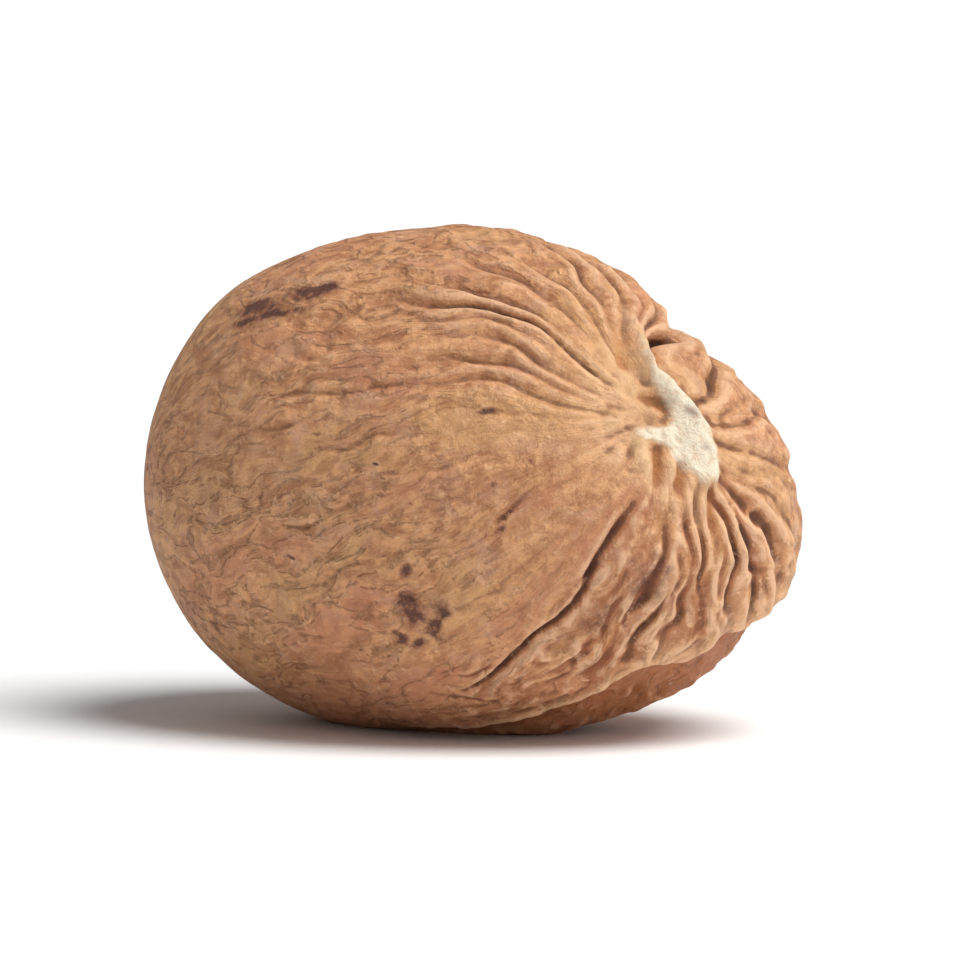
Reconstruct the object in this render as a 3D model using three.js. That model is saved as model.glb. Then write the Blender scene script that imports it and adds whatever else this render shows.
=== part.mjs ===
// A whole nutmeg: one dried kernel lying on its side, shrivelled round the pale scar at one end.
// Millimetres, +Z up. The long axis runs along X with the scar towards +X, and the kernel rests on a small flat.
import * as THREE from 'three';
import { mergeVertices } from 'three/addons/utils/BufferGeometryUtils.js';

const DEGREE = Math.PI / 180;

// The kernel before its wrinkles: an egg turned about its long axis
const SCAR_END_LENGTH = 14.3; // from the middle to the end that bears the scar
const TAIL_END_LENGTH = 12.4; // from the middle to the plain end
const HALF_WIDTH = 10.06;
const SCAR_END_BLUNTNESS = 2.0; // 2 is an ellipse, and more is blunter
const TAIL_END_BLUNTNESS = 2.6;
const AXIS_LIFT = 3 * DEGREE; // the scar end is a little higher
const MIDDLE = new THREE.Vector3(-1.215, -0.131, 9.72); // the egg's middle above the middle of the footprint

// Broad dents and swellings of the egg: where they point, how wide they are and how far they stand out
const SWELLS = [
  { azimuth: 46, elevation: 33, width: 24, height: -1.6 },
  { azimuth: 40, elevation: -17, width: 33, height: 1.7 },
  { azimuth: 24, elevation: 50, width: 15, height: 0.45 },
];

// The scar, which all the wrinkles run from
const SCAR_AZIMUTH = -11.3 * DEGREE;
const SCAR_ELEVATION = 15.5 * DEGREE;
const SCAR_DISTANCE = 13.8; // from the egg's middle
const BASIN = { radius: 1.9, depth: 0.42 };
// The raised rim, as distances right of the scar's middle and above it, with the rim's own half width and height
const RIM = [
  { right: 1.5, up: 4.9, half: 0.35, height: 0.05 },
  { right: 0.6, up: 2.9, half: 0.4, height: 0.3 },
  { right: 0.45, up: 2.2, half: 0.4, height: 0.45 },
  { right: 1.35, up: 0.6, half: 0.5, height: 0.6 },
  { right: 1.75, up: -0.8, half: 0.6, height: 0.6 },
  { right: 1.85, up: -2.2, half: 0.5, height: 0.45 },
];

// Creases run outwards from the scar. Angles are in degrees: the azimuth goes clockwise round the scar from
// straight up, and a start, reach or end is measured from the scar along the kernel.
const DEEP_CREASE = { azimuth: 205, depth: 0.75, start: 12, reach: 75 };
const FANS = [
  { azimuths: [215, 225, 235, 245, 255, 265, 275, 285], depth: 0.06, start: 12, reach: 100 },
  { azimuths: [296, 306, 315], depth: 0.33, start: 9, reach: 50 },
  { azimuths: [322], depth: 0.2, start: 20, reach: 60 },
  { azimuths: [329], depth: 0.5, start: 9, reach: 75 },
  { azimuths: [335], depth: 0.35, start: 22, reach: 82 },
  { azimuths: [346, 367], depth: 0.28, start: 18, reach: 70 },
  { azimuths: [357, 377], depth: 0.42, start: 11, reach: 78 },
  { azimuths: [387, 397], depth: 0.35, start: 12, reach: 68 },
  { azimuths: [408], depth: 0.9, start: 9, reach: 72 },
  { azimuths: [416], depth: 0.25, start: 16, reach: 50 },
  { azimuths: [424], depth: 0.5, start: 8, reach: 50 },
  { azimuths: [450, 465, 480], depth: 0.32, start: 10, reach: 46 },
  { azimuths: [491], depth: 0.55, start: 10, reach: 46 },
  { azimuths: [439, 457, 472], depth: 0.15, start: 14, reach: 40 },
  { azimuths: [502, 509, 523, 531, 543], depth: 0.42, start: 12, reach: 62 },
  { azimuths: [516, 537, 552], depth: 0.28, start: 20, reach: 60 },
];
// Broad valleys between the far lobes
const VALLEYS = [
  { azimuth: 48, half: 6, start: 14, end: 62, depth: 0.75 },
  { azimuth: 63, half: 4, start: 12, end: 50, depth: 0.35 },
];
// How far creases turn aside next to the scar, where they set off from its long side, and far from it
const BENDS = [
  { azimuth: 0, near: -8, far: 3 },
  { azimuth: 25, near: -20, far: 0 },
  { azimuth: 48, near: -32, far: 0 },
  { azimuth: 64, near: 14, far: 0 },
  { azimuth: 100, near: 10, far: 0 },
  { azimuth: 120, near: 15, far: 0 },
  { azimuth: 131, near: 9, far: 0 },
  { azimuth: 142, near: 0, far: 0 },
  { azimuth: 149, near: 0, far: 8 },
  { azimuth: 163, near: 0, far: 3 },
  { azimuth: 205, near: -2, far: 0 },
  { azimuth: 250, near: 0, far: 0 },
  { azimuth: 290, near: -10, far: -6 },
  { azimuth: 315, near: -12, far: -11 },
  { azimuth: 338, near: -8, far: -5 },
  { azimuth: 360, near: -8, far: 3 },
];

// The lip under the kernel, and the tuck where the skin folds back behind it
const LIP = { from: 128, to: 194, away: 45, turn: 175, slope: 1.9, run: 6, bead: 0.18 };
const TUCK = { depth: 1.2, hold: 8, fade: 40 };
// The small hollow at the plain end
const TAIL_HOLLOW = { radius: 9, depth: 0.5 };

const COLUMNS_PER_RIDGE = 3;
const RINGS = 44;
const RING_CROWDING = 0.45; // 0 spaces the rings evenly, and more crowds them towards the scar
const RING_RETURN = 45; // degrees of azimuth within which the rings that follow the lip come back

const COLOUR = 0xb98a62;

function direction(azimuth, elevation) {
  return new THREE.Vector3(
    Math.cos(elevation) * Math.cos(azimuth),
    Math.cos(elevation) * Math.sin(azimuth),
    Math.sin(elevation),
  );
}

const AXIS = new THREE.Vector3(Math.cos(AXIS_LIFT), 0, Math.sin(AXIS_LIFT));
const OUT = direction(SCAR_AZIMUTH, SCAR_ELEVATION);
const UP = new THREE.Vector3(0, 0, 1).addScaledVector(OUT, -OUT.z).normalize();
const RIGHT = new THREE.Vector3().crossVectors(UP, OUT);

function smooth(low, high, value) {
  return THREE.MathUtils.smoothstep(value, low, high);
}

function eggRadius(towards) {
  const along = towards.dot(AXIS);
  const across = Math.sqrt(Math.max(0, 1 - along * along));
  const scarShare = 0.5 + 0.5 * Math.tanh(4 * along);
  const bluntShare = 0.5 + 0.5 * Math.tanh(2.5 * along);
  const half = THREE.MathUtils.lerp(TAIL_END_LENGTH, SCAR_END_LENGTH, scarShare);
  const power = THREE.MathUtils.lerp(TAIL_END_BLUNTNESS, SCAR_END_BLUNTNESS, bluntShare);
  const egg = ((Math.abs(along) / half) ** power + (across / HALF_WIDTH) ** power) ** (-1 / power);
  return SWELLS.reduce((radius, swell) => {
    const centre = direction(swell.azimuth * DEGREE, swell.elevation * DEGREE);
    const away = towards.angleTo(centre) / DEGREE / swell.width;
    return radius + swell.height * Math.exp(-away * away);
  }, egg);
}

function creases() {
  const list = [DEEP_CREASE, { ...DEEP_CREASE, azimuth: DEEP_CREASE.azimuth + 360 }];
  for (const fan of FANS) {
    list.push(...fan.azimuths.map((azimuth) => ({ ...fan, azimuth })));
  }
  return list.sort((a, b) => a.azimuth - b.azimuth);
}

const CREASES = creases();
const RIDGES = CREASES.length - 1;

function creaseDepth(crease, away) {
  const opening = smooth(crease.start * 0.7, crease.start * 1.5, away);
  return crease.depth * opening * (1 - smooth(crease.reach * 0.5, crease.reach, away));
}

// Ridges are round between their creases, which are sharp
function ridgeRelief(ridge, share, away) {
  const before = creaseDepth(CREASES[ridge], away) * Math.max(0, 1 - 2 * share) ** 2;
  const after = creaseDepth(CREASES[ridge + 1], away) * Math.max(0, 2 * share - 1) ** 2;
  return -before - after;
}

// 1 for azimuths between these two, and 0 outside
function zone(azimuth, from, to, blur) {
  const turn = Math.abs(THREE.MathUtils.euclideanModulo(azimuth - (from + to) / 2 + 180, 360) - 180);
  const half = (to - from) / 2;
  return 1 - smooth(half - blur, half + blur, turn);
}

// Creases wander from side to side on their way from the scar
function wander(azimuth, away) {
  const turn = azimuth * DEGREE;
  const waves = 1.1 * Math.sin(0.13 * away + 13 * turn) + 0.6 * Math.sin(0.37 * away - 19 * turn + 1);
  return waves * smooth(10, 25, away);
}

function bend(azimuth, away) {
  const turn = THREE.MathUtils.euclideanModulo(azimuth, 360);
  const after = BENDS.findIndex((row) => row.azimuth > turn);
  const [a, b] = [BENDS[after - 1], BENDS[after]];
  const share = (turn - a.azimuth) / (b.azimuth - a.azimuth);
  const near = THREE.MathUtils.lerp(a.near, b.near, share) * (1 - smooth(9, 30, away));
  return near + THREE.MathUtils.lerp(a.far, b.far, share) * smooth(25, 60, away);
}

function valleyRelief(azimuth, away) {
  return VALLEYS.reduce((relief, valley) => {
    const turn = THREE.MathUtils.euclideanModulo(azimuth - valley.azimuth + 180, 360) - 180;
    const length = smooth(valley.start, valley.start * 1.7, away) * (1 - smooth(valley.end * 0.6, valley.end, away));
    return relief - valley.depth * length * Math.exp(-((turn / valley.half) ** 2));
  }, 0);
}

function rimRelief(right, up) {
  let best = 0;
  for (let k = 0; k + 1 < RIM.length; k += 1) {
    const [a, b] = [RIM[k], RIM[k + 1]];
    const [dx, dy] = [b.right - a.right, b.up - a.up];
    const reach = ((right - a.right) * dx + (up - a.up) * dy) / (dx * dx + dy * dy);
    const share = THREE.MathUtils.clamp(reach, 0, 1);
    const gap = Math.hypot(right - a.right - share * dx, up - a.up - share * dy);
    const half = THREE.MathUtils.lerp(a.half, b.half, share);
    best = Math.max(best, THREE.MathUtils.lerp(a.height, b.height, share) * Math.exp(-((gap / half) ** 2)));
  }
  return best;
}

function scarRelief(azimuth, away) {
  const distance = away * DEGREE * SCAR_DISTANCE;
  const basin = BASIN.depth * Math.exp(-((distance / BASIN.radius) ** 2));
  return rimRelief(distance * Math.sin(azimuth), distance * Math.cos(azimuth)) - basin;
}

function tuckRelief(azimuth, away) {
  const turn = THREE.MathUtils.euclideanModulo(azimuth, 360);
  const past = away - LIP.away - LIP.slope * Math.max(0, turn - LIP.turn);
  const bead = LIP.bead * Math.exp(-((past / LIP.run + 0.6) ** 2));
  const fold = TUCK.depth * smooth(0, LIP.run, past) * (1 - smooth(TUCK.hold, TUCK.fade, past));
  return zone(azimuth, LIP.from, LIP.to, 7) * (bead - fold);
}

// Rings are pushed outwards near the lip, so that one of them runs along it
function ringAway(azimuth, down) {
  const away = 180 * down * (1 - RING_CROWDING + RING_CROWDING * down);
  const turn = THREE.MathUtils.euclideanModulo(azimuth, 360);
  const push = LIP.slope * (THREE.MathUtils.clamp(turn, LIP.turn, LIP.to) - LIP.turn);
  const side = 1 - smooth(LIP.to, LIP.to + RING_RETURN, turn);
  return away + push * side * smooth(LIP.away / 3, LIP.away, away) * (1 - smooth(LIP.away, 180, away));
}

function tailRelief(towards) {
  const away = (180 - towards.angleTo(AXIS) / DEGREE) / TAIL_HOLLOW.radius;
  return -TAIL_HOLLOW.depth * Math.exp(-away * away);
}

function kernelPoint(column, ring) {
  const ridge = Math.floor(column / COLUMNS_PER_RIDGE) % RIDGES;
  const share = (column % COLUMNS_PER_RIDGE) / COLUMNS_PER_RIDGE;
  const plain = THREE.MathUtils.lerp(CREASES[ridge].azimuth, CREASES[ridge + 1].azimuth, share);
  const away = ringAway(plain, ring / RINGS);
  const turned = plain + wander(plain, away) + bend(plain, away);
  const azimuth = turned * DEGREE;
  const side = Math.sin(away * DEGREE);
  const towards = OUT.clone()
    .multiplyScalar(Math.cos(away * DEGREE))
    .addScaledVector(UP, side * Math.cos(azimuth))
    .addScaledVector(RIGHT, side * Math.sin(azimuth));
  const relief = ridgeRelief(ridge, share, away) + valleyRelief(plain, away) + scarRelief(azimuth, away)
    + tuckRelief(turned, away) + tailRelief(towards);
  const point = towards.clone().multiplyScalar(eggRadius(towards) + relief).add(MIDDLE);
  point.z = Math.max(0, point.z);
  return point;
}

function kernelGeometry() {
  const columns = RIDGES * COLUMNS_PER_RIDGE;
  const sphere = new THREE.SphereGeometry(1, columns, RINGS);
  const position = sphere.getAttribute('position');
  for (let i = 0; i < position.count; i += 1) {
    const ring = Math.floor(i / (columns + 1));
    const turn = columns - (i % (columns + 1)); // the sphere is numbered the other way round
    const column = ring === 0 || ring === RINGS ? 0 : turn % columns;
    const point = kernelPoint(column, ring);
    position.setXYZ(i, point.x, point.y, point.z);
  }
  sphere.deleteAttribute('normal');
  sphere.deleteAttribute('uv');
  const kernel = mergeVertices(sphere, 1e-5);
  kernel.computeVertexNormals();
  return kernel;
}

const nutmeg = new THREE.Mesh(
  kernelGeometry(),
  new THREE.MeshStandardMaterial({ color: COLOUR, roughness: 0.75, metalness: 0 }),
);
nutmeg.name = 'nutmeg';

const part = new THREE.Group();
part.add(nutmeg);

export default part;
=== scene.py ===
"""A whole nutmeg on a pale table: one dried kernel, wrinkled round the pale scar at one end."""
from math import cos, radians, sin
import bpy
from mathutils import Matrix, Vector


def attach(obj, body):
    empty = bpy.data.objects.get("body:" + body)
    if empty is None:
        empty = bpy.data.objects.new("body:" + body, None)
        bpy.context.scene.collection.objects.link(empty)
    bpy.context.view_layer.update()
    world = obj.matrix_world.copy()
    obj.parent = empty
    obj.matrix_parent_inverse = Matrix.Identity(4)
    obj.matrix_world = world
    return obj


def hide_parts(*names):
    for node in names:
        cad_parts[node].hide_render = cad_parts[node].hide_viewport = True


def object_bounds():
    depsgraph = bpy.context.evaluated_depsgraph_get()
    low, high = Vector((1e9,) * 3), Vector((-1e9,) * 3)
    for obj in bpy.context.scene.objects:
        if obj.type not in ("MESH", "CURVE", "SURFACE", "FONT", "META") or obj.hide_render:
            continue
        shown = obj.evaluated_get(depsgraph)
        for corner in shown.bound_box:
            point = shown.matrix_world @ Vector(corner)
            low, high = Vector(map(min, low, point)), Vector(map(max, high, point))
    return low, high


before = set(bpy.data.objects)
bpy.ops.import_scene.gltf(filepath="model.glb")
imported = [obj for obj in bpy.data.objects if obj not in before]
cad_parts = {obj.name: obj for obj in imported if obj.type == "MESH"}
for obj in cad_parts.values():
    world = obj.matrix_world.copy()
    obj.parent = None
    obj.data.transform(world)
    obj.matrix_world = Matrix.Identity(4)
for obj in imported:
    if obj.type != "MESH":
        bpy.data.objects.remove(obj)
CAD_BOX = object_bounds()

from types import SimpleNamespace

import bpy
import numpy as np
from bpy.props import FloatProperty, FloatVectorProperty, IntProperty, PointerProperty
from mathutils import Matrix, Vector, noise

bl_info = {
    "name": "Whole Nutmeg",
    "version": (1, 0, 0),
    "blender": (4, 5, 0),
    "location": "View3D > Sidebar > Nutmeg",
    "description": "Models a dried nutmeg with its wrinkles, scar and brown skin",
    "category": "Add Mesh",
}

MM = 0.001

# The egg, as the CAD kernel has it

AXIS_LIFT = radians(3)
MIDDLE = np.array([-1.215, -0.131, 9.72]) * MM
SCAR_END_BLUNTNESS = 2.0
TAIL_END_BLUNTNESS = 2.6
SWELLS = (
    # azimuth, elevation and width in degrees, then the height
    (46, 33, 24, -1.6 * MM),
    (40, -17, 33, 1.7 * MM),
    (24, 50, 15, 0.45 * MM),
)
TAIL_HOLLOW_RADIUS = 9
TAIL_HOLLOW_DEPTH = 0.5 * MM

# The scar

SCAR_AZIMUTH = radians(-11.3)
SCAR_ELEVATION = radians(15.5)
SCAR_DISTANCE = 13.8 * MM
BASIN_RADIUS = 1.9 * MM
BASIN_DEPTH = 0.42 * MM
# Bands round the scar: how far right of the scar's middle and above it, half width, and height or share
RIM = (
    (1.5, 4.9, 0.35, 0.05),
    (0.6, 2.9, 0.4, 0.3),
    (0.45, 2.2, 0.4, 0.45),
    (1.3, 0.6, 0.45, 0.55),
    (1.7, -0.8, 0.6, 0.55),
    (1.85, -2.2, 0.5, 0.45),
)
WHITE = (
    ((1.0, 3.8, 0.22, 0.2), (0.55, 2.9, 0.24, 0.5), (0.4, 2.2, 0.28, 0.8), (0.75, 1.4, 0.32, 1),
     (1.15, 0.7, 0.36, 1), (1.4, 0.0, 0.55, 1), (1.15, -0.75, 0.9, 1), (1.25, -1.4, 0.85, 1),
     (1.6, -2.3, 0.6, 1)),
    ((-0.8, -0.6, 0.25, 0.8), (0.8, -0.8, 0.6, 1)),
)
STRANDS = (
    ((1.5, 5.6, 0.25, 0.3), (1.0, 3.8, 0.34, 1), (0.5, 2.5, 0.42, 1)),
    ((-0.95, -0.7, 0.24, 1), (-0.92, -1.5, 0.28, 1), (-0.86, -2.7, 0.3, 0.4)),
    ((0.15, -1.8, 0.2, 1), (-0.3, -3.1, 0.25, 0.5)),
    ((0.9, -2.4, 0.2, 1), (0.7, -3.7, 0.22, 0.5)),
    ((1.5, -2.6, 0.24, 1), (1.35, -4.3, 0.28, 0.5)),
)
NECK_CREAM = ((0.3, 4.4, 0.5, 0.3), (-0.1, 3.2, 0.75, 0.8), (-0.35, 1.6, 0.8, 0.7))
POCKETS = (
    ((-0.16, -1.4, 0.24, 1), (-0.45, -2.4, 0.27, 0.8)),
    ((0.6, -2.0, 0.2, 1), (0.45, -2.7, 0.24, 0.7)),
    ((-0.4, 2.5, 0.38, 1), (0.2, 4.3, 0.42, 0.6)),
    ((1.3, 2.5, 0.15, 1), (1.85, 3.5, 0.22, 0.8)),
    ((1.75, -3.2, 0.2, 1), (1.95, -4.2, 0.25, 0.7)),
    ((-0.2, 0.95, 0.24, 0.6), (0.75, 0.45, 0.22, 0.6)),
)
PIT_ROWS = (
    (1.25, 0.15, 0.17, 1),
    (1.5, -1.3, 0.1, 0.6),
    (-0.05, 0.6, 0.08, 0.7),
    (-1.23, -0.28, 0.08, 0.6),
    (-0.43, -0.5, 0.07, 0.6),
    (-1.37, 1.76, 0.07, 0.6),
    (-1.66, 0.29, 0.07, 0.5),
    (0.03, 1.57, 0.08, 0.6),
    (0.16, -0.64, 0.08, 0.4),
    (-1.2, -0.9, 0.07, 0.4),
)
PITS = tuple(
    ((right, up, half, share), (right + half, up - half, half, share))
    for right, up, half, share in PIT_ROWS)
# Heights and depths of what lies on the scar
SCAR_ROUGHNESS = 0.2 * MM
STRAND_HEIGHT = 0.22 * MM
PATCH_HEIGHT = 0.12 * MM
POCKET_DEPTH = 0.32 * MM
PIT_DEPTH = 0.2 * MM

# Wrinkles round the scar: azimuths clockwise from above it and reaches in degrees, depths in millimetres

DEEP_CREASE = (205, 0.24, 14, 80)
FANS = (
    # azimuths, then depth, start and reach
    ((215, 225, 235, 245, 255, 265, 275, 285), 0.06, 12, 100),
    ((296, 306, 315), 0.33, 9, 50),
    ((322,), 0.2, 20, 60),
    ((329,), 0.5, 9, 75),
    ((335,), 0.35, 22, 82),
    ((346, 367), 0.28, 18, 70),
    ((357, 377), 0.42, 11, 78),
    ((387, 397), 0.35, 12, 68),
    ((408,), 0.9, 9, 72),
    ((416,), 0.25, 16, 50),
    ((424,), 0.5, 8, 50),
    ((450, 465, 480), 0.32, 10, 46),
    ((491,), 0.55, 10, 46),
    ((439, 457, 472), 0.15, 14, 40),
    ((502, 509, 523, 531, 543), 0.42, 12, 62),
    ((516, 537, 552), 0.28, 20, 60),
)
# Broad valleys between the far lobes: azimuth, half width, start and end in degrees, then the depth
VALLEYS = (
    (48, 6, 14, 62, 0.75 * MM),
    (63, 4, 12, 50, 0.35 * MM),
)
# Thin creases: depth and half width in millimetres, then azimuth and distance from the scar of each point
THIN_CREASES = (
    (0.12, 0.22, ((295, 39), (293, 47), (291, 57), (292, 75), (291, 81))),
    (0.5, 0.14, ((205, 15), (205, 22), (205, 26), (203, 31), (203, 35), (204, 40), (206, 44), (205, 48),
                 (205, 60), (206, 68))),
    (0.18, 0.16, ((206, 56), (208, 59), (209, 63), (213, 66))),
    (0.14, 0.16, ((212, 60), (213, 64), (214, 71))),
    (0.1, 0.18, ((216, 48), (216, 52), (219, 56))),
    (0.1, 0.18, ((216, 63), (215, 68), (214, 74))),
    (0.18, 0.17, ((192, 42), (191, 50), (194, 56))),
    (0.14, 0.18, ((196, 60), (199, 66), (205, 71), (211, 74))),
    (0.16, 0.2, ((246, 24), (243, 29), (241, 33), (238, 35))),
    (0.12, 0.25, ((277, 40), (279, 52), (276, 60), (278, 72))),
    (0.12, 0.25, ((262, 62), (260, 74), (262, 86))),
    (0.1, 0.25, ((249, 66), (246, 76), (248, 90))),
    (0.12, 0.25, ((268, 30), (265, 40), (267, 47))),
    (0.12, 0.25, ((286, 66), (284, 78), (286, 92))),
    (0.1, 0.25, ((304, 58), (303, 66), (305, 76))),
)
# Fine rays that run into the scar: azimuths, then depth and half width of each
RAY_AZIMUTHS = (228, 241, 254, 268, 279, 286, 295, 303, 311, 320, 330)
RAY_DEPTH = 0.14
RAY_HALF_WIDTH = 0.15
# How far the thin creases stray to the side
CREASE_WAVER = 0.25 * MM
# Waves of the creases: height in degrees, how fast each runs outward and around the scar, and its start
WAVES = (
    (1.1, 0.13, 13, 0),
    (0.6, 0.37, -19, 1),
)
# Distances from the scar, in degrees, from where to where each sets in or dies out
WAVES_SET_IN = (10, 25)
NEAR_TURN_DIES = (9, 30)
FAR_TURN_SETS_IN = (25, 60)
# How many steps find the place that a crease would have without them, and how far each step goes
TURN_STEPS = 60
TURN_STEP_SHARE = 0.4
# Wander by noise: degrees to the side, size of the bends, and the distances from where to where it sets in
WANDER = {
    "wander": (2.4, 3.5 * MM, 6, 40),
    "lower wander": (3.2, 1.6 * MM, 12, 25),
}
# How far creases turn aside next to the scar, where they set off from its long side, and far from it
BENDS = (
    # azimuth, then the turn next to the scar and the turn far from it
    (0, -8, 3),
    (25, -20, 0),
    (48, -32, 0),
    (64, 14, 0),
    (100, 10, 0),
    (120, 15, 0),
    (131, 9, 0),
    (142, 0, 0),
    (149, 0, 8),
    (163, 0, 3),
    (205, -2, 0),
    (250, 0, 0),
    (290, -10, -6),
    (315, -12, -11),
    (338, -8, -5),
)
# The lip under the kernel and the tuck behind it
LIP = {"from": 128, "to": 194, "away": 45, "turn": 175, "slope": 1.9, "run": 3.5, "bead": 0.18 * MM}
TUCK = {"depth": 0.8 * MM, "hold": 8, "fade": 27}
# Waves of the lip's edge: height in degrees, how many go round the scar, and the start
LIP_WAVES = (
    (1.5, 11, 1),
    (1.1, 23, 0),
)
# Middle and half width of the steep step behind the lip, in degrees past it, and height of the wrinkles there
LIP_STEP_MIDDLE = 4.5
LIP_STEP_HALF = 6
BEHIND_LIP_HEIGHT = 0.14 * MM

# Parts of the surface round the scar: the azimuths where each starts and ends, and half of its blend
FLANK = (208, 292, 14)
UPPER = (290, 405, 14)
LOWER = (128, 205, 8)
FAR_SIDE = (40, 135, 10)
DEEP_CREASE_LINE = (199, 211, 2)
LIP_BLUR = (LIP["from"] - 8, LIP["to"] + 4, 8)

# How far the small folds swirl to the side, and the size of the swirls
SWIRL = 0.35 * MM
SWIRL_SIZE = 1.5 * MM
# Grooves above the scar and ridges below it: their distance apart, as a share of the fold size
GROOVE_SHARE = 0.75
RIDGE_SHARE = 0.68
# A net of crests: how steep and how thin its crests are, and the height that counts as level
CREST_STEEPNESS = 2.4
CREST_THINNESS = 1.6
CREST_LEVEL = 0.3

# Dark marks, and painted shade: azimuth and distance from the scar, then half width and half length, in
# degrees, and strength
STAINS_AND_SHADE = (
    (317, 96, 2.6, 8, 1),
    (314, 89, 1.9, 8, 1),
    (313, 99, 1.6, 6, 1),
    (320, 83, 2.4, 7, 1),
    (322, 79, 1.6, 5, 1),
    (317, 90, 5.0, 14, 0.42),
    (241, 55, 1.9, 1.8, 1),
    (234, 58, 2.8, 3.0, 1),
    (230, 59, 2.5, 2.4, 1),
    (228, 54, 3.0, 2.6, 1),
    (225, 57, 3.0, 2.4, 1),
    (227, 66, 2.0, 2.6, 1),
    (223, 63, 1.8, 2.2, 1),
    (230, 58, 7.0, 7.0, 0.45),
    (239, 33.5, 0.5, 1.4, 1),
    (241.5, 31.5, 0.5, 1.4, 1),
    (242, 29.5, 0.5, 1.4, 1),
    (283, 29, 0.8, 2.1, 1),
    (258, 23, 0.5, 0.6, 1),
    (254, 30, 0.5, 0.6, 1),
    (269, 84, 0.8, 0.8, 1),
    (255, 83, 0.6, 1.4, 1),
    (258, 48, 0.4, 0.5, 1),
    (270, 53, 0.4, 1.2, 1),
    # Painted shade in the broad valley right of the deep crease
    (185, 27, 4.0, 5.5, 0.6),
    (194, 36, 3.4, 5.0, 0.5),
)

# Noise is read on a ball of this radius, which is about the kernel's
MEAN_RADIUS = 10 * MM
# Each layer of noise is the same one, read from a place of its own: this shift, so many times
NOISE_SHIFT = np.array([31.7, 17.3, 8.9])
LAYERS = {
    "wander": 1, "grooves": 2, "lumps": 3, "unevenness": 4, "squiggles": 5, "scar edge": 6, "cream edge": 7,
    "fading": 9, "swirl": 11, "scar roughness": 13, "ridges": 15, "pit edges": 16, "waver right": 21,
    "waver up": 22, "stain azimuth": 24, "stain distance": 25, "lengthwise": 26, "lower wander": 31,
    "far folds": 33, "neck cream": 34, "behind the lip": 35,
}
# How much finer each octave of noise is than the one before, and the power of that by which it is weaker
OCTAVE_STEP = 2.1
OCTAVE_FALL = 0.8
# How often the relief is averaged with its neighbours, to even it out or to find what stands out from it
BLURS = {"jagged lines": 2, "narrow creases": 5, "lip step": 8, "wide creases": 30}

# How strongly the vertices crowd towards the scar
CROWDING = 0.3

# The camera and the lights

CAMERA_AZIMUTH = radians(42)
CAMERA_ELEVATION = radians(6)
SENSOR_WIDTH = 36
LIGHTS = {
    # the way to the light, right, up and back from the camera, then its spread in degrees and strength
    "key_light": (0.42, 0.8, 0.36, 37, 3.52),
    "fill_light": (0.75, 0.25, 0.6, 60, 0.65),
}
ROOM_BRIGHTNESS = 0.24


def paint(*shade):
    """A colour picked on screen, from 0 to 255, as the linear colour that a shader wants"""
    return tuple(c / 255 / 12.92 if c < 10.3 else ((c / 255 + 0.055) / 1.055) ** 2.4 for c in shade)


def direction(azimuth, elevation):
    return np.array([cos(elevation) * cos(azimuth), cos(elevation) * sin(azimuth), sin(elevation)])


AXIS = np.array([cos(AXIS_LIFT), 0, sin(AXIS_LIFT)])
OUT = direction(SCAR_AZIMUTH, SCAR_ELEVATION)
UP = np.array([0, 0, 1]) - OUT * OUT[2]
UP = UP / np.linalg.norm(UP)
RIGHT = np.cross(UP, OUT)


def degrees_between(towards, way):
    return np.degrees(np.arccos(np.clip(towards @ way, -1, 1)))


def smooth(low, high, value):
    share = np.clip((value - low) / (high - low), 0, 1)
    return share * share * (3 - 2 * share)


def span(value, start, full, fading, end):
    """0 up to the start, 1 from full to fading, and 0 past the end"""
    return smooth(start, full, value) * (1 - smooth(fading, end, value))


def mix(low, high, share):
    return low + (high - low) * share


def turn_between(azimuth, middle):
    """Degrees clockwise from the middle, from -180 to 180"""
    return (azimuth - middle + 540) % 360 - 180


def zone(azimuth, start, end, blend):
    """1 for azimuths between these two, in degrees, and 0 outside"""
    middle, half = (start + end) / 2, (end - start) / 2
    return 1 - smooth(half - blend, half + blend, np.abs(turn_between(azimuth, middle)))


def lumps(points, size, layer, octaves=1):
    """Noise of about -1 to 1 whose lumps are about this size"""
    places = (points / size + NOISE_SHIFT * LAYERS[layer]).tolist()
    return np.array([noise.fractal(place, OCTAVE_FALL, OCTAVE_STEP, octaves) for place in places])


def crests(points, size, layer):
    """A net of thin crests, 1 on their tops, with wide hollows between them"""
    return (1 - np.minimum(1, np.abs(lumps(points, size, layer, 2)) * CREST_STEEPNESS)) ** CREST_THINNESS


def egg_radius(towards, sizes):
    along = towards @ AXIS
    across = np.sqrt(np.maximum(0, 1 - along ** 2))
    half = mix(sizes.tail_end_length, sizes.scar_end_length, 0.5 + 0.5 * np.tanh(4 * along))
    power = mix(TAIL_END_BLUNTNESS, SCAR_END_BLUNTNESS, 0.5 + 0.5 * np.tanh(2.5 * along))
    radius = ((np.abs(along) / half) ** power + (across / sizes.half_width) ** power) ** (-1 / power)
    for azimuth, elevation, width, height in SWELLS:
        centre = direction(radians(azimuth), radians(elevation))
        radius += height * np.exp(-(degrees_between(towards, centre) / width) ** 2)
    return radius


def creases():
    """Azimuth, depth, start and reach of each crease, once round the scar"""
    rows = [DEEP_CREASE]
    rows += [(azimuth, *rest) for azimuths, *rest in FANS for azimuth in azimuths]
    rows.append((DEEP_CREASE[0] + 360, *DEEP_CREASE[1:]))
    return np.array(sorted(rows))


CREASES = creases()


def turned(plain, away):
    """Where a crease has wandered and bent to at each distance from the scar, in degrees"""
    turn = np.radians(plain)
    waves = sum(
        height * np.sin(outward * away + around * turn + start) for height, outward, around, start in WAVES)
    azimuths, near, far = np.array(BENDS).T
    bend = np.interp(plain % 360, azimuths, near, period=360) * (1 - smooth(*NEAR_TURN_DIES, away))
    bend += np.interp(plain % 360, azimuths, far, period=360) * smooth(*FAR_TURN_SETS_IN, away)
    return plain + waves * smooth(*WAVES_SET_IN, away) + bend


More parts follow.
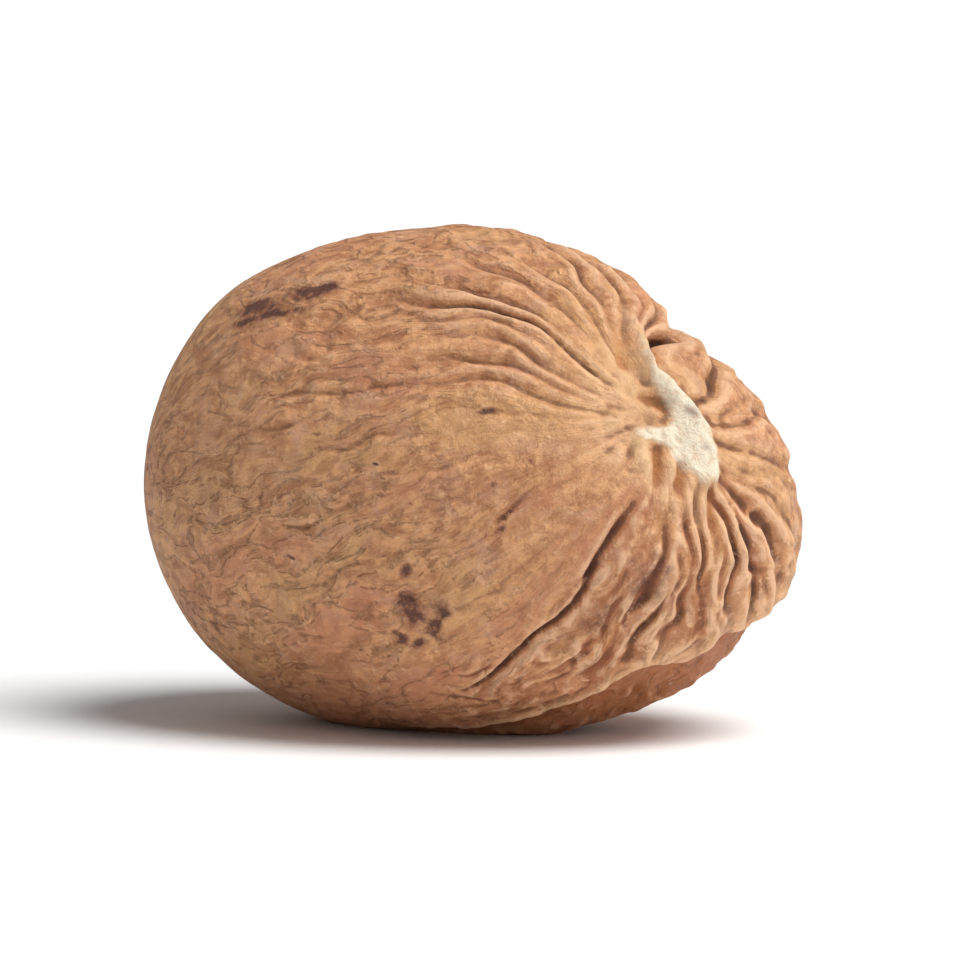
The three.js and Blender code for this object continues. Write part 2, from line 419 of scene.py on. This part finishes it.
def unturned(azimuth, away):
    """Where each place would be if no crease wandered or bent, found by small steps"""
    plain = azimuth.copy()
    for _ in range(TURN_STEPS):
        plain += TURN_STEP_SHARE * turn_between(azimuth, turned(plain, away))
    return plain


def crease_depth(rows, away):
    _, depth, start, reach = rows.T
    return depth * MM * span(away, start * 0.7, start * 1.5, reach * 0.5, reach)


def main_creases(plain, away):
    """Relief of the main creases, whose ridges are round between sharp creases"""
    turn = DEEP_CREASE[0] + (plain - DEEP_CREASE[0]) % 360
    ridge = np.clip(np.searchsorted(CREASES[:, 0], turn, side="right") - 1, 0, len(CREASES) - 2)
    before, after = CREASES[ridge], CREASES[ridge + 1]
    share = (turn - before[:, 0]) / (after[:, 0] - before[:, 0])
    near = np.maximum(0, 1 - 2 * share) ** 2
    far = np.maximum(0, 2 * share - 1) ** 2
    return -crease_depth(before, away) * near - crease_depth(after, away) * far


def band(right, up, points):
    """Height of a band along these points, falling to 0 on both sides of it"""
    best = np.zeros_like(right)
    places = np.array(points) * (MM, MM, MM, 1)
    for a, b in zip(places, places[1:]):
        run = b[:2] - a[:2]
        share = np.clip(((right - a[0]) * run[0] + (up - a[1]) * run[1]) / (run @ run), 0, 1)
        gap = np.hypot(right - a[0] - share * run[0], up - a[1] - share * run[1])
        best = np.maximum(best, mix(a[3], b[3], share) * np.exp(-(gap / mix(a[2], b[2], share)) ** 2))
    return best


def bands(right, up, many):
    return np.max([band(right, up, points) for points in many], axis=0)


def thin_creases(right, up):
    relief = np.zeros_like(right)
    rays = tuple(
        (RAY_DEPTH, RAY_HALF_WIDTH, ((azimuth, 4), (azimuth + 1, 8), (azimuth, 14)))
        for azimuth in RAY_AZIMUTHS)
    for depth, half, line in THIN_CREASES + rays:
        turns, distances = np.radians(line).T
        distances *= SCAR_DISTANCE / MM
        fade = [0.2] + [1] * (len(line) - 2) + [0.2]
        points = [distances * np.sin(turns), distances * np.cos(turns), [half] * len(line), fade]
        relief -= depth * MM * band(right, up, np.array(points).T)
    return relief


def valleys(azimuth, away):
    relief = np.zeros_like(azimuth)
    for middle, half, start, end, depth in VALLEYS:
        across = np.exp(-(turn_between(azimuth, middle) / half) ** 2)
        relief -= depth * across * span(away, start, start * 1.7, end * 0.6, end)
    return relief


def lip_away(azimuth):
    """How far from the scar the lip runs at each azimuth, in degrees"""
    turn = np.radians(azimuth)
    waver = sum(height * np.sin(around * turn + start) for height, around, start in LIP_WAVES)
    return LIP["away"] + LIP["slope"] * np.maximum(0, azimuth % 360 - LIP["turn"]) + waver


def lip_bead(past_lip):
    """1 along the lip's round edge, which runs just before the tuck"""
    return np.exp(-(past_lip / LIP["run"] + 0.6) ** 2)


def tuck(azimuth, past_lip):
    dip = TUCK["depth"] * span(past_lip, 0, LIP["run"], TUCK["hold"], TUCK["fade"])
    return zone(azimuth, LIP["from"], LIP["to"], 7) * (LIP["bead"] * lip_bead(past_lip) - dip)


def stains_and_shade(azimuth, away):
    best = np.zeros_like(away)
    for middle, distance, width, length, strength in STAINS_AND_SHADE:
        across = turn_between(azimuth, middle) * np.sin(np.radians(away)) / width
        along = (away - distance) / length
        best = np.maximum(best, strength * np.exp(-across ** 2 - along ** 2))
    return best


class VertexPlaces:
    """Where each vertex lies: from the kernel's middle, from the scar, and between the creases"""

    def __init__(self, towards):
        turn = np.arctan2(towards @ RIGHT, towards @ UP)
        self.towards = towards
        self.surface = towards * MEAN_RADIUS
        self.azimuth = np.degrees(turn)
        self.away = degrees_between(towards, OUT)
        self.distance = np.radians(self.away) * SCAR_DISTANCE
        self.right = self.distance * np.sin(turn)
        self.up = self.distance * np.cos(turn)

        self.flank, self.upper, self.lower, self.far_side, self.lip = (
            zone(self.azimuth, *part) for part in (FLANK, UPPER, LOWER, FAR_SIDE, LIP_BLUR))
        self.past_lip = self.away - lip_away(self.azimuth)
        self.behind_lip = zone(self.azimuth, LIP["from"], LIP["to"], 5) * span(self.past_lip, 0, 5, 14, 42)
        self.folded = span(self.away, 5, 11, 70, 115)

        self.straight = unturned(self.azimuth, self.away)
        wander, lower_wander = (
            most * lumps(self.surface, size, layer, 2) * smooth(start, full, self.away)
            for layer, (most, size, start, full) in WANDER.items())
        self.plain = self.straight - wander - lower_wander * self.lower

    def flow(self, stretch):
        """Places for noise whose lumps lie along the wrinkles, and are longer the smaller the stretch is"""
        turn = np.radians(self.plain)
        wide = np.sin(np.radians(np.maximum(self.away, 90)))
        return MEAN_RADIUS * np.stack(
            [wide * np.cos(turn), wide * np.sin(turn), np.radians(self.away) * stretch], 1)


def crease_relief(at):
    """The creases, the scar's rim and basin, the valleys, the tuck and the hollow at the tail"""
    fading = 0.85 + (1.1 + 0.7 * at.lower) * lumps(at.flow(0.45), 2.2 * MM, "fading")
    fading = mix(np.clip(fading, 0.15, 1.5), 1.1, zone(at.plain, *DEEP_CREASE_LINE))
    relief = main_creases(at.plain, at.away) * fading * (1 + 0.2 * at.upper - 0.45 * at.far_side)
    relief += band(at.right, at.up, RIM) * MM
    relief -= BASIN_DEPTH * np.exp(-(at.distance / BASIN_RADIUS) ** 2)
    relief += tuck(at.azimuth, at.past_lip) + valleys(at.straight, at.away)
    waver_right, waver_up = (
        CREASE_WAVER * lumps(at.surface, 1.8 * MM, layer) for layer in ("waver right", "waver up"))
    relief += thin_creases(at.right + waver_right, at.up + waver_up)
    tail = degrees_between(at.towards, -AXIS) / TAIL_HOLLOW_RADIUS
    return relief - TAIL_HOLLOW_DEPTH * np.exp(-tail ** 2)


def fold_relief(at, form):
    """Small folds, round above the scar and thin below it, with lumps and squiggles on them"""
    swirl = SWIRL * lumps(at.surface, SWIRL_SIZE, "swirl")[:, None]
    grooves = CREST_LEVEL - crests(at.flow(0.13) + swirl, GROOVE_SHARE * form.fold_size, "grooves")
    ridges = crests(at.flow(0.4) + 1.3 * swirl, RIDGE_SHARE * form.fold_size, "ridges") - CREST_LEVEL
    folds = 0.55 * (at.upper + 0.2 * at.flank) * smooth(18, 42, at.away) * grooves
    lower_height = 0.3 + 0.7 * smooth(18, 32, at.away) - 0.6 * smooth(38, 60, at.away)
    folds += 1.5 * at.lower * lower_height * ridges
    folds += at.far_side * (0.4 * ridges + 0.1 * grooves)
    relief = form.fold_height * at.folded * folds

    wrinkled = (1 - at.flank) * span(at.away, 6, 16, 70, 115)
    far_folds = at.far_side * at.folded
    squiggle_places = at.surface * 0.6 + at.flow(0.25) * 0.4
    layers = (
        # height in millimetres, the noise, and its share at each vertex
        (0.12, lumps(at.surface, 1.2 * MM, "lumps", 2), 0.2 + 0.6 * wrinkled + 0.7 * far_folds),
        (0.16, lumps(at.flow(0.5), 1.5 * MM, "far folds", 2), far_folds),
        (0.2, lumps(at.surface, 4.5 * MM, "unevenness"), 1),
        (0.09, lumps(at.flow(0.2), 1.7 * MM, "lengthwise", 2), at.flank * span(at.away, 18, 40, 100, 130)),
        (0.04, crests(squiggle_places, 0.55 * MM, "squiggles"), smooth(4, 12, at.away) * (1 + at.lower)),
    )
    for height, pattern, share in layers:
        relief += height * MM * pattern * share
    return relief


def scar_marks(at):
    """How far each vertex lies in the white patch, the strands, the pockets and the pits"""
    patch, strand, pocket, pit = (
        bands(at.right, at.up, many) for many in (WHITE, STRANDS, POCKETS, PITS))
    pit *= smooth(-0.9, -0.1, lumps(at.surface, 0.25 * MM, "pit edges", 2))
    return SimpleNamespace(patch=patch, strand=strand, pocket=pocket, pit=pit)


def scar_relief(at, marks):
    rough = (1 - smooth(9, 16, at.away)) * (0.65 + 0.15 * smooth(0.2, 0.6, marks.patch))
    raised = STRAND_HEIGHT * marks.strand + PATCH_HEIGHT * smooth(0.3, 0.6, marks.patch)
    sunk = POCKET_DEPTH * marks.pocket + PIT_DEPTH * marks.pit
    return SCAR_ROUGHNESS * lumps(at.surface, 0.4 * MM, "scar roughness", 2) * rough + raised - sunk


def blurred(values, edges, times):
    """Values averaged with those of their neighbours along the edges, so many times"""
    count = np.bincount(edges.ravel(), minlength=len(values))
    for _ in range(times):
        total = np.bincount(edges[:, 0], values[edges[:, 1]], len(values))
        total += np.bincount(edges[:, 1], values[edges[:, 0]], len(values))
        values = 0.5 * values + 0.5 * total / count
    return values


def evened(relief, edges, at):
    """The relief with the steep step behind the lip evened out, wrinkles behind it, and no jagged lines"""
    step = at.lip * np.exp(-((at.past_lip - LIP_STEP_MIDDLE) / LIP_STEP_HALF) ** 2)
    relief = mix(relief, blurred(relief, edges, BLURS["lip step"]), step)
    relief += BEHIND_LIP_HEIGHT * lumps(at.flow(0.3), 1.5 * MM, "behind the lip", 3) * at.behind_lip
    return blurred(relief, edges, BLURS["jagged lines"])


def skin_attributes(at, marks, relief, edges, heights):
    """What the skin's colours follow at each vertex"""
    scar_edge = 0.3 * lumps(at.surface, 0.7 * MM, "scar edge", 3)
    cream_edge = 4 * lumps(at.surface, 1.5 * MM, "cream edge", 2)
    neck_edge = smooth(-0.9, 0.3, lumps(at.surface, 0.8 * MM, "neck cream", 3))
    neck_cream = band(at.right, at.up, NECK_CREAM) * neck_edge
    ragged_azimuth = at.azimuth + 1.8 * lumps(at.surface, 0.9 * MM, "stain azimuth", 2)
    ragged_away = at.away + 1.8 * lumps(at.surface, 0.9 * MM, "stain distance", 2)
    return {
        # The relief against its wide and its narrow surroundings: by these the skin paints highlight on the
        # crests and shade in the creases
        "height": (relief - blurred(relief, edges, BLURS["wide creases"])) / MM,
        "edge": (relief - blurred(relief, edges, BLURS["narrow creases"])) / MM,
        "flow": at.flow(0.25) / MM,
        "lower": at.lower * at.folded,
        "upper": at.upper * at.folded,
        "close": 1 - smooth(15, 60, at.away),
        # Behind the lip, where the orange brown is darkened as painted shade under it
        "under": at.behind_lip,
        # Stained spots and bruises, and painted shade in the valley beside the deep crease
        "stain_and_shade": stains_and_shade(ragged_azimuth, ragged_away),
        "scar": smooth(0.35, 0.6, marks.patch + scar_edge),
        # Cream strands and neck, and a painted highlight along the lip's round edge
        "strand": np.max([marks.strand, 0.6 * at.lip * lip_bead(at.past_lip), neck_cream], axis=0),
        # Near the floor, where the skin is painted redder and darker as shade
        "low": 1 - smooth(1.5 * MM, 5 * MM, heights),
        "pocket": marks.pocket,
        "pit": marks.pit,
        "cream": 1 - smooth(6, 19, at.away + cream_edge),
    }


class NutmegForm(bpy.types.PropertyGroup):
    scar_end_length: FloatProperty(
        name="Scar end length", description="From the middle to the end that bears the scar",
        default=14.3 * MM, unit="LENGTH")
    tail_end_length: FloatProperty(
        name="Tail end length", description="From the middle to the plain end",
        default=12.4 * MM, unit="LENGTH")
    half_width: FloatProperty(
        name="Half width", description="Half of the width across the kernel",
        default=10.06 * MM, unit="LENGTH")
    fold_height: FloatProperty(
        name="Fold height", description="Height of the small folds that lie between the main creases",
        default=0.2 * MM, unit="LENGTH")
    fold_size: FloatProperty(
        name="Fold size", description="Distance from one small fold to the next where the kernel is widest",
        default=1.9 * MM, unit="LENGTH")
    detail: IntProperty(
        name="Detail", description="How many times the cube that the kernel starts from is subdivided",
        default=7, min=4, max=7)


def colour(name, description, shade):
    return FloatVectorProperty(name=name, description=description, subtype="COLOR", size=3, default=shade)


class NutmegColours(bpy.types.PropertyGroup):
    skin: colour("Skin", "Light brown of the skin", paint(224, 166, 117))
    dark_skin: colour("Dark skin", "Redder brown of the mottling", paint(170, 113, 74))
    bloom: colour("Bloom", "Pinkish grey bloom", paint(200, 152, 124))
    straw: colour("Straw", "Yellower patches", paint(208, 162, 106))
    blush: colour("Blush", "Redder patches", paint(200, 132, 96))
    # Pale flecks, squiggles and patches, and painted highlight on the tops of the folds
    pale_and_crest_highlight: colour("Crests", "Pale tops of the folds", paint(240, 192, 152))
    # Orange brown specks and streaks, and painted shade in the hollows between the folds below the scar
    hollow: colour("Hollows", "Orange brown between the folds below the scar", paint(166, 100, 60))
    # Dark flecks, and painted shade inside the creases and in the pits
    crease: colour("Creases", "Dark brown inside the creases", paint(108, 60, 34))
    # Painted shade at the bottom of the deepest creases
    core: colour("Crease cores", "Darkest brown, at the bottom of the deepest creases", paint(64, 36, 24))
    # Orange brown behind the lip, darkened as painted shade under the lip
    under: colour("Underside", "Orange brown behind the lip", paint(168, 100, 50))
    scar: colour("Scar", "Off-white of the scar", paint(254, 240, 214))
    cream: colour("Cream", "Cream of the folds next to the scar", paint(230, 188, 142))
    # Orange brown of the hollows at the scar, darkened as painted shade in them
    pocket: colour("Pockets", "Orange brown of the hollows at the scar", paint(196, 128, 70))
    furrow: colour("Furrows", "Brown of the short fine creases", paint(132, 82, 52))
    # Reddish brown round the stained spots, and painted shade beside the deep crease
    bruise_and_shade: colour("Bruises", "Reddish brown round the stains", paint(122, 66, 50))
    # Dark spots and bruises, and the darkest of the painted shade beside the deep crease
    stain_and_shade: colour("Stains", "Dark spots and bruises", paint(72, 38, 35))


class NutmegStage(bpy.types.PropertyGroup):
    floor_size: FloatProperty(
        name="Floor size", description="Side of the square floor", default=6.0, unit="LENGTH")
    floor_colour: colour("Floor colour", "Pale grey of the floor", paint(244, 244, 244))
    camera_distance: FloatProperty(
        name="Camera distance", description="From the kernel's middle to the camera",
        default=1.0, unit="LENGTH")
    view_width: FloatProperty(
        name="View width", description="Width that the camera sees at the kernel",
        default=38 * MM, unit="LENGTH")


def subdivided_cube(detail):
    """A cube rounded off into a ball of even quads"""
    bpy.ops.object.select_all(action="DESELECT")
    bpy.ops.mesh.primitive_cube_add(size=2)
    ball = bpy.context.object
    subdivision = ball.modifiers.new("Subdivision", "SUBSURF")
    subdivision.levels = subdivision.render_levels = detail
    bpy.ops.object.modifier_apply(modifier=subdivision.name)
    return ball


def unit(vectors):
    return vectors / np.linalg.norm(vectors, axis=1)[:, None]


def vertex_directions(mesh):
    """Directions from the middle to the vertices, crowded towards the scar"""
    places = np.empty(len(mesh.vertices) * 3)
    mesh.vertices.foreach_get("co", places)
    return unit(unit(places.reshape(-1, 3)) + CROWDING * OUT)


def edge_ends(mesh):
    ends = np.empty(len(mesh.edges) * 2, int)
    mesh.edges.foreach_get("vertices", ends)
    return ends.reshape(-1, 2)


def add_attribute(mesh, name, values):
    kind, field = ("FLOAT_VECTOR", "vector") if values.ndim == 2 else ("FLOAT", "value")
    attribute = mesh.attributes.new(name, kind, "POINT")
    attribute.data.foreach_set(field, values.astype(np.float32).ravel())


class NUTMEG_OT_kernel(bpy.types.Operator):
    """Models the kernel as one closed mesh and hides the CAD node that it stands for"""
    bl_idname = "nutmeg.kernel"
    bl_label = "Kernel"

    def execute(self, context):
        form = context.scene.nutmeg_form
        kernel = subdivided_cube(form.detail)
        kernel.name = kernel.data.name = "kernel"
        mesh = kernel.data
        edges = edge_ends(mesh)
        at = VertexPlaces(vertex_directions(mesh))
        marks = scar_marks(at)
        relief = crease_relief(at) + fold_relief(at, form) + scar_relief(at, marks)
        relief = evened(relief, edges, at)

        places = at.towards * (egg_radius(at.towards, form) + relief)[:, None] + MIDDLE
        heights = places[:, 2] = np.maximum(places[:, 2], 0)
        mesh.vertices.foreach_set("co", places.ravel())
        mesh.update()
        for name, values in skin_attributes(at, marks, relief, edges, heights).items():
            add_attribute(mesh, name, values)
        bpy.ops.object.shade_smooth()

        kernel.data.materials.append(kernel_skin(context.scene.nutmeg_colours))
        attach(kernel, "root")
        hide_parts("nutmeg")
        return {"FINISHED"}


class Number:
    """A number that varies over the surface: Python's operators on it add Math nodes"""

    def __init__(self, graph, socket):
        self.graph = graph
        self.socket = socket

    def _math(self, operation, *values):
        socket = self.graph.node("ShaderNodeMath", {"operation": operation}, dict(enumerate(values)))
        return Number(self.graph, socket)

    def __add__(self, other):
        return self._math("ADD", self, other)

    def __sub__(self, other):
        return self._math("SUBTRACT", self, other)

    def __rsub__(self, other):
        return self._math("SUBTRACT", other, self)

    def __mul__(self, other):
        return self._math("MULTIPLY", self, other)

    def size(self):
        """The number without its sign"""
        return self._math("ABSOLUTE", self)

    __radd__ = __add__
    __rmul__ = __mul__


class Graph:
    """The nodes of one material"""

    def __init__(self, name):
        self.material = bpy.data.materials.new(name)
        self.material.use_nodes = True
        self.tree = self.material.node_tree
        self.tree.nodes.clear()

    def node(self, kind, settings, inputs, output=0):
        """Adds a node and returns one of its output sockets"""
        node = self.tree.nodes.new(kind)
        for name, value in settings.items():
            setattr(node, name, value)
        for key, value in inputs.items():
            value = getattr(value, "socket", value)
            if isinstance(value, bpy.types.NodeSocket):
                self.tree.links.new(value, node.inputs[key])
            else:
                node.inputs[key].default_value = value
        return node.outputs[output]

    def attribute(self, name):
        return Number(self, self.node("ShaderNodeAttribute", {"attribute_name": name}, {}, "Fac"))

    def places(self):
        """Object coordinates in millimetres"""
        place = self.node("ShaderNodeTexCoord", {}, {}, "Object")
        return self.node("ShaderNodeVectorMath", {"operation": "SCALE"}, {0: place, "Scale": 1 / MM})

    def squeezed(self, vector, share):
        """The vector with its third part, which runs along the wrinkles, multiplied by this"""
        return self.node("ShaderNodeVectorMath", {"operation": "MULTIPLY"}, {0: vector, 1: (1.0, 1.0, share)})

    def noise(self, vector, scale, detail, roughness, distortion=0.0):
        return Number(self, self.node("ShaderNodeTexNoise", {}, {
            "Vector": vector, "Scale": scale, "Detail": detail, "Roughness": roughness,
            "Distortion": distortion}))

    def range(self, value, low, high, start=0.0, end=1.0):
        return Number(self, self.node(
            "ShaderNodeMapRange", {"interpolation_type": "SMOOTHSTEP"},
            {"Value": value, "From Min": low, "From Max": high, "To Min": start, "To Max": end}))

    def mix(self, share, first, second):
        colours = [c if isinstance(c, bpy.types.NodeSocket) else (*c, 1.0) for c in (first, second)]
        return self.node("ShaderNodeMix", {"data_type": "RGBA"}, {0: share, 6: colours[0], 7: colours[1]}, 2)

    def threads(self, vector, scale):
        """Thin light lines where a noise crosses its middle value"""
        level = self.noise(vector, scale, 2.0, 0.5)
        return self.range((level - 0.5).size(), 0.055, 0.0)

    def finish(self, **inputs):
        """Ends the material in a Principled shader with these inputs"""
        shader = self.node("ShaderNodeBsdfPrincipled", {}, inputs)
        output = self.tree.nodes.new("ShaderNodeOutputMaterial")
        self.tree.links.new(shader, output.inputs["Surface"])
        return self.material


def skin_patterns(graph, close):
    """The noises of the skin: patches and streaks along the wrinkles, mottling, speckle and fine lines"""
    place = graph.places()
    flow = graph.node("ShaderNodeAttribute", {"attribute_name": "flow"}, {}, "Vector")
    slanted = graph.squeezed(flow, 2.0)
    even = graph.noise(place, 1.7, 7.0, 0.72, 0.3)
    along = graph.noise(slanted, 2.1, 6.0, 0.66, 0.2)
    furrows = graph.threads(graph.squeezed(flow, 1.4), 1.1)
    return SimpleNamespace(
        even=even,
        mottle=even * (close * 0.5 + 0.3) + along * (0.7 - close * 0.5),
        broad=graph.noise(slanted, 0.3, 4.0, 0.55),
        streaks=graph.noise(flow, 0.8, 6.0, 0.65, 0.4),
        patches=graph.noise(place, 0.6, 7.0, 0.7, 0.5),
        speckle=graph.noise(place, 3.2, 6.0, 0.75),
        grain=graph.noise(place, 8.0, 4.0, 0.7),
        squiggles=graph.threads(slanted, 1.5) * graph.range(even, 0.5, 0.6),
        furrows=furrows * graph.range(even, 0.54, 0.44) * (1 - close * 0.85))


def kernel_skin(colours):
    """Mottled brown skin with painted highlight on the crests and painted shade in the creases and hollows,
    with the scar and the stained spots
    """
    graph = Graph("nutmeg_skin")
    ramp = graph.range
    height, edge, near, close, lower, upper, under, low, scar, strand, pocket, pit, stain_and_shade = (
        graph.attribute(name) for name in (
            "height", "edge", "cream", "close", "lower", "upper", "under", "low", "scar", "strand",
            "pocket", "pit", "stain_and_shade"))
    pattern = skin_patterns(graph, close)
    even, streaks, speckle = pattern.even, pattern.streaks, pattern.speckle
    chalk = graph.mix(ramp(speckle, 0.54, 0.4) * 0.3, colours.scar, colours.cream)
    marked = ramp(stain_and_shade, 0.03, 0.3)
    ragged = stain_and_shade * (speckle * 2.5 + even * 2.5 - 1.5)

    skin = graph.mix(ramp(pattern.mottle, 0.37, 0.61), colours.dark_skin, colours.skin)
    coats = (
        # Patches, streaks and fine lines of the whole skin, and painted shade near the floor
        (ramp(pattern.patches, 0.5, 0.62) * 0.5, colours.bloom),
        (ramp(pattern.broad, 0.5, 0.64) * 0.4, colours.straw),
        (ramp(pattern.broad, 0.48, 0.36) * 0.5, colours.blush),
        (ramp(streaks, 0.47, 0.35) * (0.75 - close * 0.45), colours.dark_skin),
        # Painted shade: redder and darker towards the floor
        (low * ramp(streaks, 0.42, 0.56) * 0.45, colours.blush),
        (pattern.squiggles * 0.35, colours.pale_and_crest_highlight),
        (pattern.furrows * 0.32, colours.furrow),
        (ramp(speckle, 0.42, 0.3) * 0.38, colours.crease),
        (ramp(speckle, 0.57, 0.67) * 0.42, colours.pale_and_crest_highlight),
        # Painted highlight on the crests and painted shade in the creases and hollows, first the wide ones
        # and then the narrow ones
        (ramp(height, 0.02, 0.16) * 0.45, colours.pale_and_crest_highlight),
        (ramp(height, -0.04, -0.3) * 0.55, colours.crease),
        # Painted shade in the hollows between the folds below the scar
        (lower * ramp(height, 0.06, -0.08) * 0.65, colours.hollow),
        # Painted highlight on the narrow crests
        (ramp(edge, 0.005, 0.035) * (lower * 0.25 + 0.5), colours.pale_and_crest_highlight),
        (ramp(edge, -0.004, -0.036) * (0.75 - upper * 0.3), colours.crease),
        (ramp(edge, -0.035, -0.08) * 0.6, colours.core),
        # Round the scar, below it, and behind the lip, where the orange brown is darkened as painted shade
        (near * ramp(height, -0.15, 0.06) * 0.6, colours.cream),
        (near * ramp(speckle, 0.45, 0.36) * 0.4, colours.hollow),
        (lower * ramp(streaks, 0.5, 0.4) * 0.5, colours.hollow),
        (lower * ramp(even, 0.55, 0.66) * 0.5, colours.pale_and_crest_highlight),
        (under * ramp(even, 0.38, 0.6, 0.25, 0.85), colours.under),
        # The scar and its marks
        (scar * ramp(speckle, 0.3, 0.45, 0.7, 1.0), chalk),
        # Cream strands and neck, and a painted highlight along the lip's round edge
        (strand * 0.6, colours.cream),
        # Orange brown, darkened as painted shade in the pockets
        (pocket * ramp(speckle, 0.3, 0.6, 0.9, 0.5), colours.pocket),
        # Painted shade in the pits
        (pit * 0.75, colours.crease),
        # The bruises and stained spots, and painted shade in the broad valley beside the deep crease
        (marked * ramp(ragged, 0.15, 0.6) * 0.65, colours.bruise_and_shade),
        (marked * ramp(ragged, 0.5, 0.85) * 0.75, colours.stain_and_shade),
    )
    for share, shade in coats:
        skin = graph.mix(share, skin, shade)

    relief = pattern.mottle + streaks * (1 - close) * 0.4 + speckle * 0.5 + pattern.grain * 0.2
    relief = relief + pattern.squiggles * 0.15 - pattern.furrows * 0.35 + scar * speckle * 0.8
    bump = graph.node("ShaderNodeBump", {}, {"Height": relief, "Strength": 0.8, "Distance": 0.24 * MM})
    return graph.finish(**{
        "Base Color": skin, "Roughness": ramp(speckle, 0.3, 0.7, 0.5, 0.72), "Normal": bump,
        "Specular IOR Level": 0.4})


def camera_frame():
    """The camera's right, up and back directions"""
    a, e = CAMERA_AZIMUTH, CAMERA_ELEVATION
    right = Vector((cos(a), sin(a), 0))
    back = Vector((sin(a) * cos(e), -cos(a) * cos(e), sin(e)))
    return right, back.cross(right), back


def soft_light(name, towards, spread, strength):
    """A light from far away in this direction, as wide as this many degrees of sky"""
    light = bpy.data.lights.new(name, "SUN")
    light.angle = radians(spread)
    light.energy = strength
    lamp = bpy.data.objects.new(name, light)
    lamp.rotation_euler = towards.to_track_quat("Z", "Y").to_euler()
    bpy.context.scene.collection.objects.link(lamp)


def pale_room():
    world = bpy.data.worlds.new("pale_room")
    world.use_nodes = True
    background = world.node_tree.nodes["Background"]
    background.inputs["Color"].default_value = (1, 1, 1, 1)
    background.inputs["Strength"].default_value = ROOM_BRIGHTNESS
    return world


def photo_camera(stage, right, up, back):
    lens = bpy.data.cameras.new("camera")
    lens.sensor_width = SENSOR_WIDTH
    lens.lens = SENSOR_WIDTH * stage.camera_distance / stage.view_width
    lens.clip_start, lens.clip_end = 0.01, 50
    camera = bpy.data.objects.new("camera", lens)
    camera.matrix_world = Matrix((right, up, back)).transposed().to_4x4()
    camera.location = (CAD_BOX[0] + CAD_BOX[1]) / 2 + stage.camera_distance * back
    return camera


class NUTMEG_OT_stage(bpy.types.Operator):
    """Adds the pale floor, the soft lights and the camera"""
    bl_idname = "nutmeg.stage"
    bl_label = "Floor, Lights and Camera"

    def execute(self, context):
        scene = context.scene
        stage = scene.nutmeg_stage
        bpy.ops.object.select_all(action="DESELECT")
        bpy.ops.mesh.primitive_plane_add(size=stage.floor_size)
        floor = context.object
        floor.name = "floor"
        graph = Graph("pale_floor")
        floor.data.materials.append(graph.finish(**{
            "Base Color": (*stage.floor_colour, 1.0), "Roughness": 0.7, "Specular IOR Level": 0.2}))

        right, up, back = camera_frame()
        for name, (aside, above, near, spread, strength) in LIGHTS.items():
            soft_light(name, aside * right + above * up + near * back, spread, strength)
        scene.world = pale_room()
        scene.view_settings.view_transform = "Standard"
        scene.camera = photo_camera(stage, right, up, back)
        scene.collection.objects.link(scene.camera)
        return {"FINISHED"}


class NUTMEG_PT_sidebar(bpy.types.Panel):
    bl_idname = "NUTMEG_PT_sidebar"
    bl_label = "Nutmeg"
    bl_space_type = "VIEW_3D"
    bl_region_type = "UI"
    bl_category = "Nutmeg"

    def draw(self, context):
        for group in (context.scene.nutmeg_form, context.scene.nutmeg_colours, context.scene.nutmeg_stage):
            box = self.layout.box()
            for name in group.__annotations__:
                box.prop(group, name)
        self.layout.operator(NUTMEG_OT_kernel.bl_idname)
        self.layout.operator(NUTMEG_OT_stage.bl_idname)


CLASSES = (NutmegForm, NutmegColours, NutmegStage, NUTMEG_OT_kernel, NUTMEG_OT_stage, NUTMEG_PT_sidebar)


def register():
    for item in CLASSES:
        bpy.utils.register_class(item)
    bpy.types.Scene.nutmeg_form = PointerProperty(type=NutmegForm)
    bpy.types.Scene.nutmeg_colours = PointerProperty(type=NutmegColours)
    bpy.types.Scene.nutmeg_stage = PointerProperty(type=NutmegStage)


def unregister():
    del bpy.types.Scene.nutmeg_stage
    del bpy.types.Scene.nutmeg_colours
    del bpy.types.Scene.nutmeg_form
    for item in reversed(CLASSES):
        bpy.utils.unregister_class(item)


def main():
    register()
    bpy.ops.nutmeg.kernel()
    bpy.ops.nutmeg.stage()


if __name__ == "__main__":
    main()
